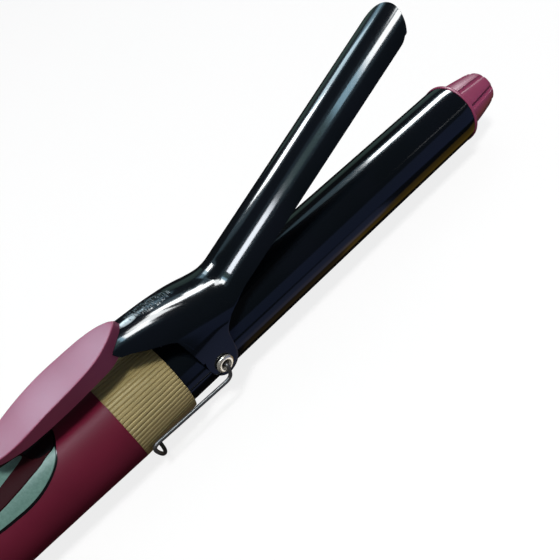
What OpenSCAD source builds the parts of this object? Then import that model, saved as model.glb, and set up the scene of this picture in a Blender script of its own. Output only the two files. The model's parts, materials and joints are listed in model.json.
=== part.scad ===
// Spring-clamp hair curling iron (tong): heated barrel, sprung clamp with
// thumb grip, fold-away wire stand, handle with touch keys and swivel cord
// inlet. Millimetres. The iron lies along X with its tip at +X; +Z is the
// clamp side. The origin is the mouth of the cord inlet, on the barrel axis.
// Lengths inside the modules are measured from the clamp pivot, which lies
// on the barrel axis.

/* [Barrel] */
// Outside diameter of the heated barrel
barrel_d = 28; // [27:0.5:29]
// Wall of the barrel tube
barrel_wall = 1; // [0.8:0.1:1.2]
// Barrel length from the clamp pivot to its open end
barrel_len = 154; // [130:1:180]
// Length of the cool tip's nose
nose_len = 22; // [16:1:26]
// Number of grip flutes round the nose
nose_flutes = 8; // [6:1:12]

/* [Clamp] */
// How far the clamp is drawn open
open_deg = 21; // [0:0.5:23]
// Half of the angle that the tongue wraps round the barrel
tongue_half_deg = 53.4; // [45:0.2:56]
// Distance from the barrel's end back to the tongue's tip
tongue_back = 10; // [8:0.2:20]
// Sheet thickness of the clamp
sheet = 1; // [0.8:0.1:1]
// Gap between closed tongue and barrel
tongue_gap = 0.3; // [0.3:0.05:0.5]

/* [Stand] */
// Diameter of the stand's wire
wire_d = 1.5; // [1.2:0.05:1.5]
// Distance of the stand's legs from the middle plane
leg_y = 17.9; // [17.7:0.1:18.5]
// Number of flat sides round the bent wire
wire_sides = 10; // [8:2:12]

/* [Handle] */
// Thickness of the handle's wall
handle_wall = 2.2; // [1.8:0.1:2.4]
// Depth of the recess that holds the control panel
panel_depth = 1.4; // [1.2:0.1:1.4]
// Radius of the plus and minus keys
key_r = 2.7; // [2.2:0.1:2.9]
// Radius of the power key
power_r = 3.4; // [2.8:0.1:3.6]
// Travel of each key
key_travel = 0.6; // [0.3:0.1:0.6]

/* [Cord inlet] */
// Radius of the bore that takes the cord
cord_r = 3.3; // [2.8:0.1:3.6]

/* [Hidden] */
$fn = 96;
e = 0.02;                 // overlap used where solids are cut
br = barrel_d / 2;
bi = br - barrel_wall;
pivot_x = 196;            // from the cord inlet's mouth to the clamp pivot
ear_in = br + 0.6;        // inner face of the clamp's ears
ear_out = ear_in + sheet; // outer face of the clamp's ears
tube_in = br + tongue_gap;
tube_out = tube_in + sheet;
shank_r = 2.2;            // eyelet shank
wr = wire_d / 2;
tongue_end = barrel_len - tongue_back;
tongue_y = tube_out * sin(tongue_half_deg);
tongue_z = tube_out * cos(tongue_half_deg);

// ---- helpers ----
module place() { translate([pivot_x, 0, 0]) children(); }
module clamp_place() { place() rotate([0, -open_deg, 0]) children(); }
module rev(p) { rotate([0, 90, 0]) rotate_extrude() polygon(p); }
module xcyl(x0, x1, r) { translate([x0, 0, 0]) rotate([0, 90, 0]) cylinder(h = x1 - x0, r = r); }
module xring(x0, x1, ro, ri) { difference() { xcyl(x0, x1, ro); xcyl(x0 - 1, x1 + 1, ri); } }
module ycyl(y0, y1, r) { translate([0, y0, 0]) rotate([-90, 0, 0]) cylinder(h = y1 - y0, r = r); }
module side(p, w) { rotate([90, 0, 0]) translate([0, 0, -w / 2]) linear_extrude(w) polygon(p); }
module plan(p, z0, z1) { translate([0, 0, z0]) linear_extrude(z1 - z0) polygon(p); }
function cr1(a, b, c, d, t) = 0.5 * (2 * b + (c - a) * t + (2 * a - 5 * b + 4 * c - d) * t * t + (3 * b - a - 3 * c + d) * t * t * t);
function smooth(p, n) = let (m = len(p) - 1) [for (i = [0 : m - 1]) for (k = [0 : (i == m - 1 ? n : n - 1)])
  cr1(p[max(i - 1, 0)], p[i], p[i + 1], p[min(i + 2, m)], k / n)];
function mirrored(p) = concat(p, [for (i = [len(p) - 1 : -1 : 0]) if (abs(p[i][1]) > 0.001) [p[i][0], -p[i][1]]]);
function clamp01(v) = max(0, min(1, v));
function sstep(a, b, v) = let (t = clamp01((v - a) / (b - a))) t * t * (3 - 2 * t);

// ---- barrel and heater ----
module barrel_tube() {
  color([0.03, 0.03, 0.035]) difference() {
    xring(-34, barrel_len, br, bi);
    ycyl(-20, 20, shank_r + 0.02);
    for (a = [0, 180]) rotate([a, 0, 0]) translate([-27, 0, 10]) cylinder(h = 6, r = 1.3);
  }
}
module tip_cap() {
  r0 = br - 2.3; r1 = br - 5.7;
  color([0.55, 0.22, 0.27]) difference() {
    rev([[0, barrel_len + 0.02], [br - 3.2, barrel_len + 0.02], [br - 3.2, barrel_len - 10], [bi - 0.05, barrel_len - 10],
      [bi - 0.05, barrel_len + 0.02], [br + 0.25, barrel_len + 0.02], [br + 0.25, barrel_len + 1.5], [br - 0.35, barrel_len + 2.1],
      [r0, barrel_len + 2.1], [r1 + 0.35, barrel_len + nose_len - 0.4], [r1 - 0.25, barrel_len + nose_len + 0.7],
      [r1 - 1.6, barrel_len + nose_len + 1.6], [0, barrel_len + nose_len + 1.6]]);
    for (i = [0 : nose_flutes - 1]) rotate([i * 360 / nose_flutes + 22.5, 0, 0])
      translate([barrel_len + 1.7, 0, r0 + 0.75]) rotate([0, 90 + atan((r0 - r1) / nose_len), 0]) cylinder(h = nose_len + 4, r = 1.35);
  }
}
module spreader() {
  difference() {
    intersection() { xcyl(12, barrel_len - 16, bi - 0.1); translate([0, -20, 1.25]) cube([200, 40, 20]); }
    translate([0, 0, 7]) xcyl(10, barrel_len - 10, 3.6);
  }
}
module heat_spreader_upper() { color([0.75, 0.76, 0.78]) spreader(); }
module heat_spreader_lower() { color([0.75, 0.76, 0.78]) rotate([180, 0, 0]) spreader(); }
module ptc_heater() {
  color([0.72, 0.5, 0.2]) {
    translate([14, -8, -1.2]) cube([barrel_len - 32, 16, 2.4]);
    for (y = [-6, 6]) translate([9.5, y - 1.6, -0.4]) cube([5, 3.2, 0.8]);
  }
}
module thermal_fuse() {
  color([0.8, 0.8, 0.75]) translate([0, 0, 6]) { xcyl(-2, 9, 1.7); xcyl(-9, -1, 0.45); xcyl(8, 11.9, 0.45); }
}
module ntc_sensor() {
  color([0.15, 0.4, 0.3]) translate([0, 0, -6]) { xcyl(6, 11.9, 1.2); xcyl(-8, 7, 0.5); }
}
module heater_leads() {
  color([0.85, 0.85, 0.82]) for (y = [-6, 6]) translate([0, y, 0]) xcyl(-57.5, 9.4, 0.9);
}

// ---- clamp pivot ----
module pivot_ring() {
  color([0.6, 0.6, 0.62]) difference() { xring(-7, 7, bi - 0.02, bi - 1.3); ycyl(-20, 20, shank_r + 0.02); }
}
// hollow rivet: funnel mouth, rolled rim, clinched inner end
module eyelet() {
  o = ear_out;
  rotate([-90, 0, 0]) rotate_extrude() union() {
    polygon([[wr + 0.05, bi - 2.4], [3, bi - 2.4], [3, bi - 1.8], [shank_r, bi - 1.8], [shank_r, o + 0.4], [1.6, o + 1.2], [1.3, o + 0.5], [wr + 0.05, o - 0.4]]);
    polygon([[1.45, o + 0.6], [2.1, o + 0.05], [3.1, o + 0.05], [3.5, o + 0.3], [3.6, o + 0.7], [3.45, o + 1.1], [3.1, o + 1.4], [2.6, o + 1.55], [2.1, o + 1.5], [1.7, o + 1.3], [1.45, o + 0.95]]);
  }
}
module pivot_eyelets() { color([0.75, 0.74, 0.7]) for (s = [0, 180]) rotate([0, 0, s]) eyelet(); }
module pivot_washers() {
  color([0.15, 0.15, 0.16]) for (s = [0, 180]) rotate([0, 0, s]) difference() { ycyl(br + 0.03, ear_in - 0.03, 3.8); ycyl(0, 20, shank_r + 0.03); }
}

// ---- clamp, in the closed position: tongue parallel to the barrel ----
// height of the clamp's outer surface along its middle, rear to front
top_line = [[-46, 46.5], [-42, 45.6], [-34, 43.8], [-26, 41.8], [-20, 40.3], [-15, 38.9], [-12, 37.95], [-10, 37.2], [-8, 36.3], [-6.4, 35.5],
  [-3.4, 33.95], [0, 32.1], [2.7, 30.5], [6, 28.35], [8.9, 26.3], [12, 24.05], [15.3, 21.5], [18, 19.4], [20.2, 17.85], [22, 16.8], [23.8, 16.05],
  [25.6, 15.6], [27.6, 15.3], [40, 15.3]];
function zt(x) = lookup(x, top_line) - 15.3 + tube_out;
function zb(x) = 9 * (1 - sstep(8, 27, x));
function wd(x) = ear_out + (tube_out - ear_out) * sstep(9, 26, x);
function slope_th(x) = sheet * (1 + 0.24 * sstep(28, 18, x) * (1 - sstep(-4, -14, x)));
// each row runs over the clamp from the middle line at x = r[0] to the edge at [r[1], r[2]]
clamp_rows = [[-42, -42, 42.6], [-34, -34, 40.7], [-26, -26, 38.9], [-20, -19.6, 38.1], [-17.2, -16, 37.85], [-16.2, -15.05, 35.9], [-14, -12.4, 33.15],
  [-12, -10.2, 30.9], [-10, -7.8, 28.5], [-8.2, -5.4, 26.3], [-6.6, -3.1, 24], [-5.2, -1.2, 21.2], [-4, -0.75, 18.4], [-3, -0.95, 15.2],
  [-2, -1.5, 12.2], [-1, -2.6, 9.2], [0, -4.15, 6.2], [0.8, -5, 3.3], [1.6, -5.25, 0.5], [2.4, -4.7, -2.2], [3.2, -3.3, -4.6],
  [4, -1.2, -5.8], [4.8, 1.5, -5.9], [5.6, 3.9, -5], [6.2, 5.7, -3.2], [6.9, 7, -0.8], [7.8, 8.1, 1.8], [9, 9.1, 4.3], [10.4, 10.2, 6.6], [12, 11.8, 8.3],
  [14, 13.8, 9.3], [16, 16, 9.8], [18.5, 18.5, 9.7], [21, 21, 9.4], [24, 24, 9.2], [28, 28, 9.15]];
clamp_cols = 22;
function clamp_pt(r, v, th, dw) = let (s = abs(v), t = 1 - cos(90 * s), z0 = zt(r[0]) - th,
  x = r[0] + (r[1] - r[0]) * t, z = z0 + (r[2] - z0) * t, b = zb(x), top = zt(x) - th)
  [x, sign(v) * (wd(x) - dw) * sqrt(max(0, 1 - pow(clamp01((z - b) / (top - b)), 2))), z];
// closed body between an outer and an inner sheet of n rows by m points
module between(pts, n, m) {
  o = n * m;
  polyhedron(points = pts, faces = concat(
    [for (i = [0 : n - 2]) for (j = [0 : m - 2]) for (k = [0, 1]) let (a = i * m + j)
      k == 0 ? [a, a + 1, a + m] : [a + 1, a + m + 1, a + m]],
    [for (i = [0 : n - 2]) for (j = [0 : m - 2]) for (k = [0, 1]) let (a = o + i * m + j)
      k == 0 ? [a, a + m, a + 1] : [a + 1, a + m, a + m + 1]],
    [for (i = [0 : n - 2]) for (k = [0, 1]) let (a = i * m) k == 0 ? [a, a + m, o + a] : [a + m, o + a + m, o + a]],
    [for (i = [0 : n - 2]) for (k = [0, 1]) let (a = i * m + m - 1) k == 0 ? [a, o + a, a + m] : [a + m, o + a, o + a + m]],
    [for (j = [0 : m - 2]) for (k = [0, 1]) k == 0 ? [j, o + j, j + 1] : [j + 1, o + j, o + j + 1]],
    [for (j = [0 : m - 2]) for (k = [0, 1]) let (a = (n - 1) * m + j) k == 0 ? [a, a + 1, o + a] : [a + 1, o + a + 1, o + a]]));
}
module clamp_shell() {
  between(concat([for (r = clamp_rows) for (j = [0 : clamp_cols]) clamp_pt(r, 2 * j / clamp_cols - 1, 0, 0)],
    [for (r = clamp_rows) for (j = [0 : clamp_cols]) clamp_pt(r, 2 * j / clamp_cols - 1, slope_th(r[0]), sheet)]), len(clamp_rows), clamp_cols + 1);
}
tip_curve = [for (a = [0 : 6 : 90]) [tongue_end - 13.2 + 13.2 * sin(a), (tongue_y + 0.1) * cos(a)]];
module clamp_plate() {
  color([0.03, 0.03, 0.035]) difference() {
    union() {
      clamp_shell();
      intersection() {
        xring(27.6, tongue_end + 1, tube_out + 0.03, tube_in - 0.03);
        plan(mirrored(concat([[27, tongue_y + 0.1]], tip_curve)), tongue_z - 0.04, 20);
      }
    }
    ycyl(-20, 20, shank_r + 0.05);
    for (x = [-24, -36]) translate([x, 0, 30]) cylinder(h = 20, r = 2.45);
  }
}
// hairpin leaf spring between lever and barrel, drawn with the clamp open as in the default pose
module clamp_spring() {
  t = 0.8; r = 3.2; c = [7, br + 0.05 + t / 2 + r];
  // middle line: lower leaf, coil, upper leaf and its turned-down end
  mid = concat([[-13, c[1] - r], [-3, c[1] - r]], [for (a = [-90 : 12 : 102]) c + r * [cos(a), sin(a)]],
    [for (d = [6, 14, 22, 30, 30.6]) c + r * [cos(105.5), sin(105.5)] + d * [-cos(15.5), sin(15.5)]],
    [c + r * [cos(105.5), sin(105.5)] + [-31.2 * cos(15.5) - 0.35, 31.2 * sin(15.5) - 0.15], c + r * [cos(105.5), sin(105.5)] + [-31.2 * cos(15.5) - 2, 31.2 * sin(15.5) - 1.5]]);
  n = len(mid);
  nrm = [for (i = [0 : n - 1]) let (u = unit(mid[min(i + 1, n - 1)] - mid[max(i - 1, 0)])) [-u[1], u[0]]];
  color([0.55, 0.56, 0.6]) rotate([90, 0, 0]) translate([0, 0, -3]) linear_extrude(6)
    polygon(concat([for (i = [0 : n - 1]) mid[i] - nrm[i] * t / 2], [for (i = [n - 1 : -1 : 0]) mid[i] + nrm[i] * t / 2]));
}
// outline of the grip's flat pad: half width along the middle line
pad_half = [[-6.6, 0], [-8.1, 1.8], [-11.1, 3.95], [-14.1, 5.4], [-18.2, 6.8], [-22.1, 7.5], [-25.9, 7.9], [-30.8, 8.2], [-35.6, 8.25],
  [-40.5, 8.1], [-45.6, 7.9], [-51.7, 7.3], [-57, 6.1], [-61.2, 4.2], [-63.6, 0]];
pad_top = [[-6, 39.2], [-8.1, 39.9], [-11.1, 40.6], [-14.1, 41.2], [-18.2, 42], [-22.1, 42.9], [-25.9, 43.9], [-30.8, 45.3], [-35.6, 46.6],
  [-40.5, 47.7], [-45.6, 48.6], [-51.7, 49.5], [-57, 50.4], [-61.2, 51.2], [-64, 51.8]];
skirt_low = [[-5, 37.4], [-8, 37.6], [-11.8, 38.1], [-13.8, 37.95], [-16.1, 38.0], [-16.2, 34.4], [-17.2, 34.7], [-19, 35], [-21, 35.5], [-23.9, 36.5], [-29.8, 38.2], [-41.1, 41.6], [-51.8, 45.1], [-58.6, 47.8], [-64, 50.6]];
function inset_half(p, d) = [for (i = [0 : len(p) - 1]) if (p[i][1] > d || i == 0 || i == len(p) - 1)
  [p[i][0] + (i == 0 ? -1.6 * d : i == len(p) - 1 ? 1.1 * d : 0), max(0, p[i][1] - d)]];
module thumb_grip() {
  outer = smooth(pad_half, 4);
  color([0.62, 0.3, 0.36]) difference() {
    union() {
      difference() {
        intersection() {
          plan(mirrored(outer), 30, 55);
          side(concat(smooth(pad_top, 3), [for (i = [len(skirt_low) - 1 : -1 : 0]) skirt_low[i]]), 30);
        }
        intersection() {
          plan(mirrored(smooth(inset_half(pad_half, 1.3), 4)), 30, 55);
          side(concat([for (q = [[-66, 51], [-52, 47.8], [-46, 46.75], [-42, 45.85], [-34, 44.0], [-26, 42.0], [-20, 40.5], [-15, 39.1], [-12, 38.2], [-10, 37.5], [-8, 36.8], [-6, 36]])
            [q[0], min(q[1], lookup(q[0], [[-66, 49.7], [-61, 49], [-57, 48.3], [-52, 47.5], [-46, 46.75], [-42, 60]]))]], [[-6, 20], [-66, 20]]), 40);
        }
      }
      for (x = [-24, -36]) translate([x, 0, zt(x) - 1.6]) cylinder(h = 3, r = 2.3);
    }
    for (x = [-24, -36]) translate([x, 0, zt(x) - 3]) cylinder(h = 4.2, r = 1.1);
  }
}
module grip_screws() {
  color([0.6, 0.6, 0.62]) for (x = [-24, -36]) translate([x, 0, 0]) {
    translate([0, 0, zt(x) - 3.2]) cylinder(h = 1.1, r = 3);
    translate([0, 0, zt(x) - 2.2]) cylinder(h = 3.1, r = 1.1);
  }
}

// ---- wire stand, folded back along the collar ----
// half of the wire's middle line, from the eyelet to the middle of the foot
half_route = [[0, 17.0, 0], [0, 17.5, -0.15], [-0.1, 17.85, -0.7], [-0.3, leg_y, -1.5], [-0.6, leg_y, -3.2], [-1.1, leg_y, -4.5],
  [-2.1, leg_y, -5.3], [-3.6, leg_y, -5.6], [-8, leg_y, -5.4], [-14, leg_y, -5.1], [-20, leg_y, -4.8], [-26, leg_y, -4.5], [-32, leg_y, -4.15],
  [-35, leg_y, -4.05], [-36.4, leg_y, -4.5], [-37, leg_y - 0.1, -5.7], [-36.9, 17.6, -7.4], [-36.3, 16.9, -10.2], [-35.6, 15.5, -13],
  [-34.8, 13.4, -15.6], [-34.1, 10.7, -17.8], [-33.6, 7.4, -19.4], [-33.3, 3.7, -20.4], [-33.2, 0, -20.7]];
route = concat(half_route, [for (i = [len(half_route) - 2 : -1 : 0]) [half_route[i][0], -half_route[i][1], half_route[i][2]]]);
function unit(v) = v / norm(v);
// frame carried along the wire so that it doesn't twist
function frames(p, i, n, acc) = i == len(p) ? acc : let (t = unit(p[min(i + 1, len(p) - 1)] - p[max(i - 1, 0)]), m = unit(n - (n * t) * t))
  frames(p, i + 1, m, concat(acc, [[m, cross(t, m)]]));
module tube(p, r, sides) {
  f = frames(p, 0, [1, 0, 0], []);
  n = len(p);
  rr = r / cos(180 / sides);
  polyhedron(points = [for (i = [0 : n - 1]) for (k = [0 : sides - 1]) p[i] + r * (cos(360 * k / sides) * f[i][0] + sin(360 * k / sides) * f[i][1])],
    faces = concat([[for (k = [0 : sides - 1]) k]], [[for (k = [sides - 1 : -1 : 0]) (n - 1) * sides + k]],
      [for (i = [0 : n - 2]) for (k = [0 : sides - 1]) for (h = [0, 1]) let (a = i * sides + k, b = i * sides + (k + 1) % sides)
        h == 0 ? [a, a + sides, b] : [b, a + sides, b + sides]]));
}
module wire_stand() {
  color([0.25, 0.24, 0.22]) union() {
    tube(route, wr, wire_sides);
    for (s = [0, 180]) rotate([0, 0, s]) ycyl(bi - 1.6, 17.2, wr);
  }
}

// ---- collar and barrel holder ----
module heat_collar() {
  color([0.62, 0.5, 0.32]) rev([[br + 0.06, -15.75], [br + 1.7, -15.75], [br + 1.9, -15.95], [br + 2.9, -39.5], [br + 2.8, -39.7], [br + 0.35, -39.7],
    [br + 0.35, -38], [br + 1.15, -37.6], [br + 1.15, -18.5], [br + 0.06, -17.6]]);
}
module barrel_holder() {
  color([0.85, 0.83, 0.78]) difference() {
    union() { xcyl(-34.05, -18, bi - 0.06); xcyl(-53, -34.05, br + 0.3); }
    xcyl(-60, -10, bi - 2.8);
    for (a = [0, 180]) rotate([a, 0, 0]) translate([-27, 0, 8]) cylinder(h = 6, r = 1.1);
    rotate([180, 0, 0]) translate([-48, 0, 8]) cylinder(h = 9, r = 1.1);
  }
}
// a pan-head screw pointing to -Z with the underside of its head at z = 0
module screw(len, r, head_r, head_h) {
  difference() {
    union() { translate([0, 0, -len]) cylinder(h = len + 0.1, r = r); cylinder(h = head_h, r = head_r); }
    for (a = [0, 90]) rotate([0, 0, a]) translate([-head_r * 0.55, -0.2, head_h - 0.4]) cube([head_r * 1.1, 0.4, 1]);
  }
}
module holder_screws() {
  color([0.6, 0.6, 0.62]) for (a = [0, 180]) rotate([a, 0, 0]) translate([-27, 0, br + 0.05]) screw(5, 1.08, 2, 0.9);
}

// ---- handle ----
handle_pts = [[-39.72, 2.9], [-50, 2.66], [-60, 2.42], [-70, 2.2], [-80, 2.0], [-90, 1.85], [-100, 1.75], [-110, 1.68], [-120, 1.65], [-130, 1.68],
  [-140, 1.76], [-150, 1.9], [-160, 2.05], [-170, 2.2]];
function handle_r(x) = br + lookup(x, [for (i = [len(handle_pts) - 1 : -1 : 0]) handle_pts[i]]);
module handle_solid(d, x0, x1) {
  rev(concat([[0, x1]], [[handle_r(x1) + d, x1]], [for (q = handle_pts) if (q[0] < x1 - 0.01 && q[0] > x0 + 0.01) [br + q[1] + d, q[0]]], [[handle_r(x0) + d, x0]], [[0, x0]]));
}
module handle_layer(d0, d1, x0, x1) { difference() { handle_solid(d1, x0, x1); handle_solid(d0, x0 - 1, x1 + 1); } }
// plan outlines of the nested leaf shapes of the control panel
leaf = [[-56.3, 0], [-57, 3], [-58.7, 6], [-60.6, 8.9], [-62.6, 10.4], [-65.8, 11.7], [-70.2, 12.7], [-75.4, 13.15], [-80.9, 13.0], [-86, 12.7],
  [-92, 12.1], [-99, 11.2], [-106, 10.0], [-113, 8.2], [-119, 6.1], [-124, 3.6], [-127.6, 1.4], [-128.6, 0]];
teal_in = [[-59.25, 5.75], [-60.2, 6.2], [-62.8, 6.6], [-65.8, 7.4], [-69.4, 7.9], [-76, 8.7], [-82.3, 9.15], [-90, 9.2], [-98, 8.8], [-106, 7.8], [-113, 6.2],
  [-119, 4.1], [-123.4, 1.7], [-125, 0.6]];
teal_out = [[-59.2, 5.85], [-59.8, 6.95], [-60.9, 8.4], [-62.9, 9.85], [-66, 11.15], [-70.3, 12.15], [-75.4, 12.6], [-80.9, 12.45], [-86, 12.15], [-92, 11.55],
  [-99, 10.65], [-106, 9.45], [-113, 7.65], [-119, 5.55], [-123.6, 3.1], [-125.4, 0.6]];
trim_out = [[-60.9, 6.1], [-62.8, 6.4], [-65.8, 7.2], [-69.4, 7.7], [-76, 8.5], [-82.3, 8.95], [-90, 9.0], [-98, 8.6], [-106, 7.6], [-113, 6.0], [-119, 3.9], [-123, 1.6], [-124.2, 0]];
lens = [[-68.1, 0], [-68.7, 0.9], [-70.5, 1.7], [-73.5, 2.5], [-77.9, 3.6], [-82, 4.5], [-86, 5.1], [-92, 5.6], [-100, 5.8], [-108, 5.4], [-114, 4.2], [-119, 2.2], [-121.4, 0]];
window = [[-57, 0], [-57.6, 2.9], [-59.1, 5.2], [-60.4, 5.9], [-62.5, 5.8], [-64.5, 5.3], [-66.2, 4.2], [-67.3, 2.3], [-67.6, 0]];
keys = [[-87, key_r], [-96, key_r], [-107, power_r]];
module key_bores(d) { for (k = keys) translate([k[0], 0, 5]) cylinder(h = 15, r = k[1] + d); }
module handle_shell() {
  color([0.42, 0.12, 0.2]) difference() {
    handle_solid(0, -170, -39.72);
    handle_solid(-handle_wall, -171, -39);
    intersection() { plan(mirrored(smooth(leaf, 3)), 2, 25); handle_layer(-panel_depth, 3, -132, -52); }
    key_bores(0.15);
    translate([-65.5, -4, 5]) cube([6.5, 8, 15]);
    for (x = [-48, -164]) translate([x, 0, -25]) cylinder(h = 15, r = 1.3);
    for (x = [-48, -164]) translate([x, 0, -handle_r(x) - 5]) cylinder(h = 6.1, r = 2.5);
  }
}
module handle_screws() {
  color([0.5, 0.5, 0.52]) for (x = [-48, -164]) rotate([180, 0, 0]) translate([x, 0, handle_r(x) - 1.05]) screw(5, 1.08, 2.2, 0.95);
}
module panel_plate() {
  color([0.02, 0.02, 0.025]) difference() {
    intersection() { plan(mirrored(smooth([for (q = leaf) [q[0] + (q[1] == 0 ? (q[0] > -90 ? -0.1 : 0.1) : 0), max(0, q[1] - 0.05)]], 3)), 2, 25);
      handle_layer(-panel_depth + 0.02, 0.05, -131, -54); }
    intersection() {
      plan(mirrored(smooth([for (q = leaf) [q[0] + (q[1] == 0 ? (q[0] > -90 ? -0.7 : 0.9) : 0), max(0, q[1] - 0.55)]], 3)), 2, 25);
      handle_layer(-0.7, 3, -131, -54);
    }
    key_bores(0.15);
    translate([-65.5, -4, 5]) cube([6.5, 8, 15]);
  }
}
module inlay() {
  intersection() {
    plan(concat(smooth(teal_out, 3), [for (q = smooth([for (i = [len(teal_in) - 1 : -1 : 0]) teal_in[i]], 3)) q]), 2, 25);
    handle_layer(-0.68, 0.12, -131, -54);
  }
}
module inlay_left() { color([0.36, 0.52, 0.48]) inlay(); }
module inlay_right() { color([0.36, 0.52, 0.48]) mirror([0, 1, 0]) inlay(); }
module panel_trim() {
  color([0.38, 0.1, 0.17]) difference() {
    intersection() { plan(mirrored(concat([[-60.9, 0]], smooth(trim_out, 3))), 2, 25); handle_layer(-0.68, 0.3, -131, -54); }
    plan(mirrored(smooth(lens, 3)), 2, 25);
    plan(mirrored([for (q = window) [q[0] - (q[1] == 0 ? 0.2 : 0.1), q[1] + (q[1] == 0 ? 0 : 0.12)]]), 2, 25);
  }
}
module key_panel() {
  color([0.36, 0.52, 0.48]) difference() {
    intersection() { plan(mirrored(smooth([for (q = lens) [q[0] + (q[1] == 0 ? (q[0] > -90 ? -0.25 : 0.25) : 0), max(0, q[1] - 0.12)]], 3)), 2, 25); handle_layer(-0.68, 0.15, -131, -54); }
    key_bores(0.15);
  }
}
module display_window() {
  color([0.02, 0.02, 0.025]) intersection() { plan(mirrored(window), 2, 25); handle_layer(-0.68, 0.1, -131, -54); }
}
module key(i) {
  k = keys[i]; s = handle_r(k[0]);
  translate([k[0], 0, 0]) {
    translate([0, 0, s + 0.55]) cylinder(h = 0.25, r1 = k[1], r2 = k[1] - 0.25);
    translate([0, 0, s - 3.6]) cylinder(h = 4.16, r = k[1]);
    translate([0, 0, s - 4.0]) cylinder(h = 0.9, r = k[1] + 0.7);
  }
}
module plus_key() { color([0.85, 0.85, 0.85]) difference() { key(0);
  for (a = [0, 90]) rotate([0, 0, 0]) translate([keys[0][0], 0, handle_r(-87) + 0.6]) rotate([0, 0, a]) translate([-1.1, -0.22, 0]) cube([2.2, 0.44, 1]); } }
module minus_key() { color([0.85, 0.85, 0.85]) difference() { key(1);
  translate([keys[1][0] - 0.22, -1.1, handle_r(-96) + 0.6]) cube([0.44, 2.2, 1]); } }
module power_key() { color([0.85, 0.85, 0.85]) difference() { key(2);
  translate([keys[2][0], 0, handle_r(-107) + 0.6]) difference() { cylinder(h = 1, r = 1.75); translate([0, 0, -1]) cylinder(h = 3, r = 1.35); translate([0, -0.55, -1]) cube([3, 1.1, 3]); }
  translate([keys[2][0] + 0.5, -0.2, handle_r(-107) + 0.6]) cube([1.6, 0.4, 1]); } }
pcb_z = 5.4;
module key_switches() {
  color([0.1, 0.1, 0.1]) for (k = keys) let (s = handle_r(k[0])) {
    translate([k[0] - 3, -3, pcb_z + 1.2]) cube([6, 6, s - 6.1 - pcb_z - 1.2]);
    translate([k[0], 0, s - 6.2]) cylinder(h = 1.55, r = 1.5);
  }
}
module indicator_leds() { color([0.9, 0.9, 0.7]) for (i = [0 : 3]) translate([-64.9 + 1.5 * i, -1, pcb_z + 1.2]) cube([0.9, 2, 0.8]); }
module circuit_board() {
  color([0.08, 0.3, 0.15]) difference() {
    translate([-150, -10.4, pcb_z]) cube([94, 20.8, 1.2]);
    for (x = [-144, -62]) for (y = [-7, 7]) translate([x, y, 0]) cylinder(h = 12, r = 1);
  }
}
module triac() { color([0.12, 0.12, 0.12]) { translate([-132, -5, pcb_z + 1.2]) cube([10, 10, 3.4]); translate([-136, -5, pcb_z + 1.2]) cube([4, 10, 1.2]); } }
module mains_capacitor() { color([0.7, 0.6, 0.15]) translate([-146, -6.5, pcb_z + 1.2]) cube([8, 13, 4]); }
module terminal_block() {
  color([0.2, 0.35, 0.6]) difference() { translate([-62, -9, -3]) cube([8, 18, pcb_z + 3]); for (y = [-6, 6]) translate([0, y, 0]) xcyl(-58, -50, 1.0); }
}
module chassis() {
  color([0.2, 0.2, 0.22]) difference() {
    union() {
      intersection() { xring(-156, -56, br - 0.85, br - 2.2); translate([-200, -20, -20]) cube([200, 40, pcb_z + 20 - 0.02]); }
      for (x = [-153, -120, -90, -68]) intersection() { xcyl(x, x + 1.6, br - 1.5); translate([-200, -20, -20]) cube([200, 40, pcb_z + 20 - 0.02]); }
    }
    xcyl(-160, -50, 4.2);
    translate([-200, -4.2, 0]) cube([200, 8.4, 10]);
  }
}

// ---- rear end ----
module end_cap() {
  color([0.42, 0.12, 0.2]) difference() {
    rev([[9.3, -156.5], [br - 1.2, -156.5], [br - 0.2, -157.6], [br - 0.15, -170.02], [br + 2.18, -170.02], [br + 2.0, -173], [br + 1.2, -176.2],
      [br - 0.6, -178.6], [br - 3.6, -180], [6.56, -180.2], [6.56, -167.6], [9.3, -167.6]]);
    rotate([180, 0, 0]) translate([-164, 0, 10]) cylinder(h = 9, r = 1.1);
  }
}
module gland_retainer() { color([0.2, 0.2, 0.22]) xring(-164.9, -163.3, 9.28, 6.6); }
module swivel_gland() {
  color([0.1, 0.1, 0.11]) difference() {
    rev([[0, -163.2], [6.5, -163.2], [6.5, -165], [8.6, -165.2], [8.6, -167.4], [6.5, -167.6], [6.5, -180.6], [8.6, -180.6], [8.8, -181.2], [8.5, -184],
      [6.9, -188], [6.2, -192], [6.3, -195], [6, -pivot_x], [0, -pivot_x]]);
    xcyl(-pivot_x - 1, -166, cord_r);
    xcyl(-167, -162, 2);
  }
}
module slip_core() {
  color([0.85, 0.83, 0.78]) difference() {
    union() { xcyl(-163.2, -154.6, 3.2); for (x = [-163.2, -160, -156.8]) xcyl(x, x + 0.8, 5); }
    xcyl(-170, -150, 1.6);
  }
}
module slip_rings() { color([0.8, 0.65, 0.3]) for (x = [-162.3, -159.1]) xring(x, x + 2.2, 4.6, 3.22); }
module contact_blades() {
  color([0.8, 0.65, 0.3]) for (x = [-162, -158.8]) {
    translate([x, -3, 4.68]) cube([1.6, 6, 0.5]);
    translate([x, 2.5, 4.68]) rotate([35, 0, 0]) cube([1.6, 3.4, 0.5]);
  }
}

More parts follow.
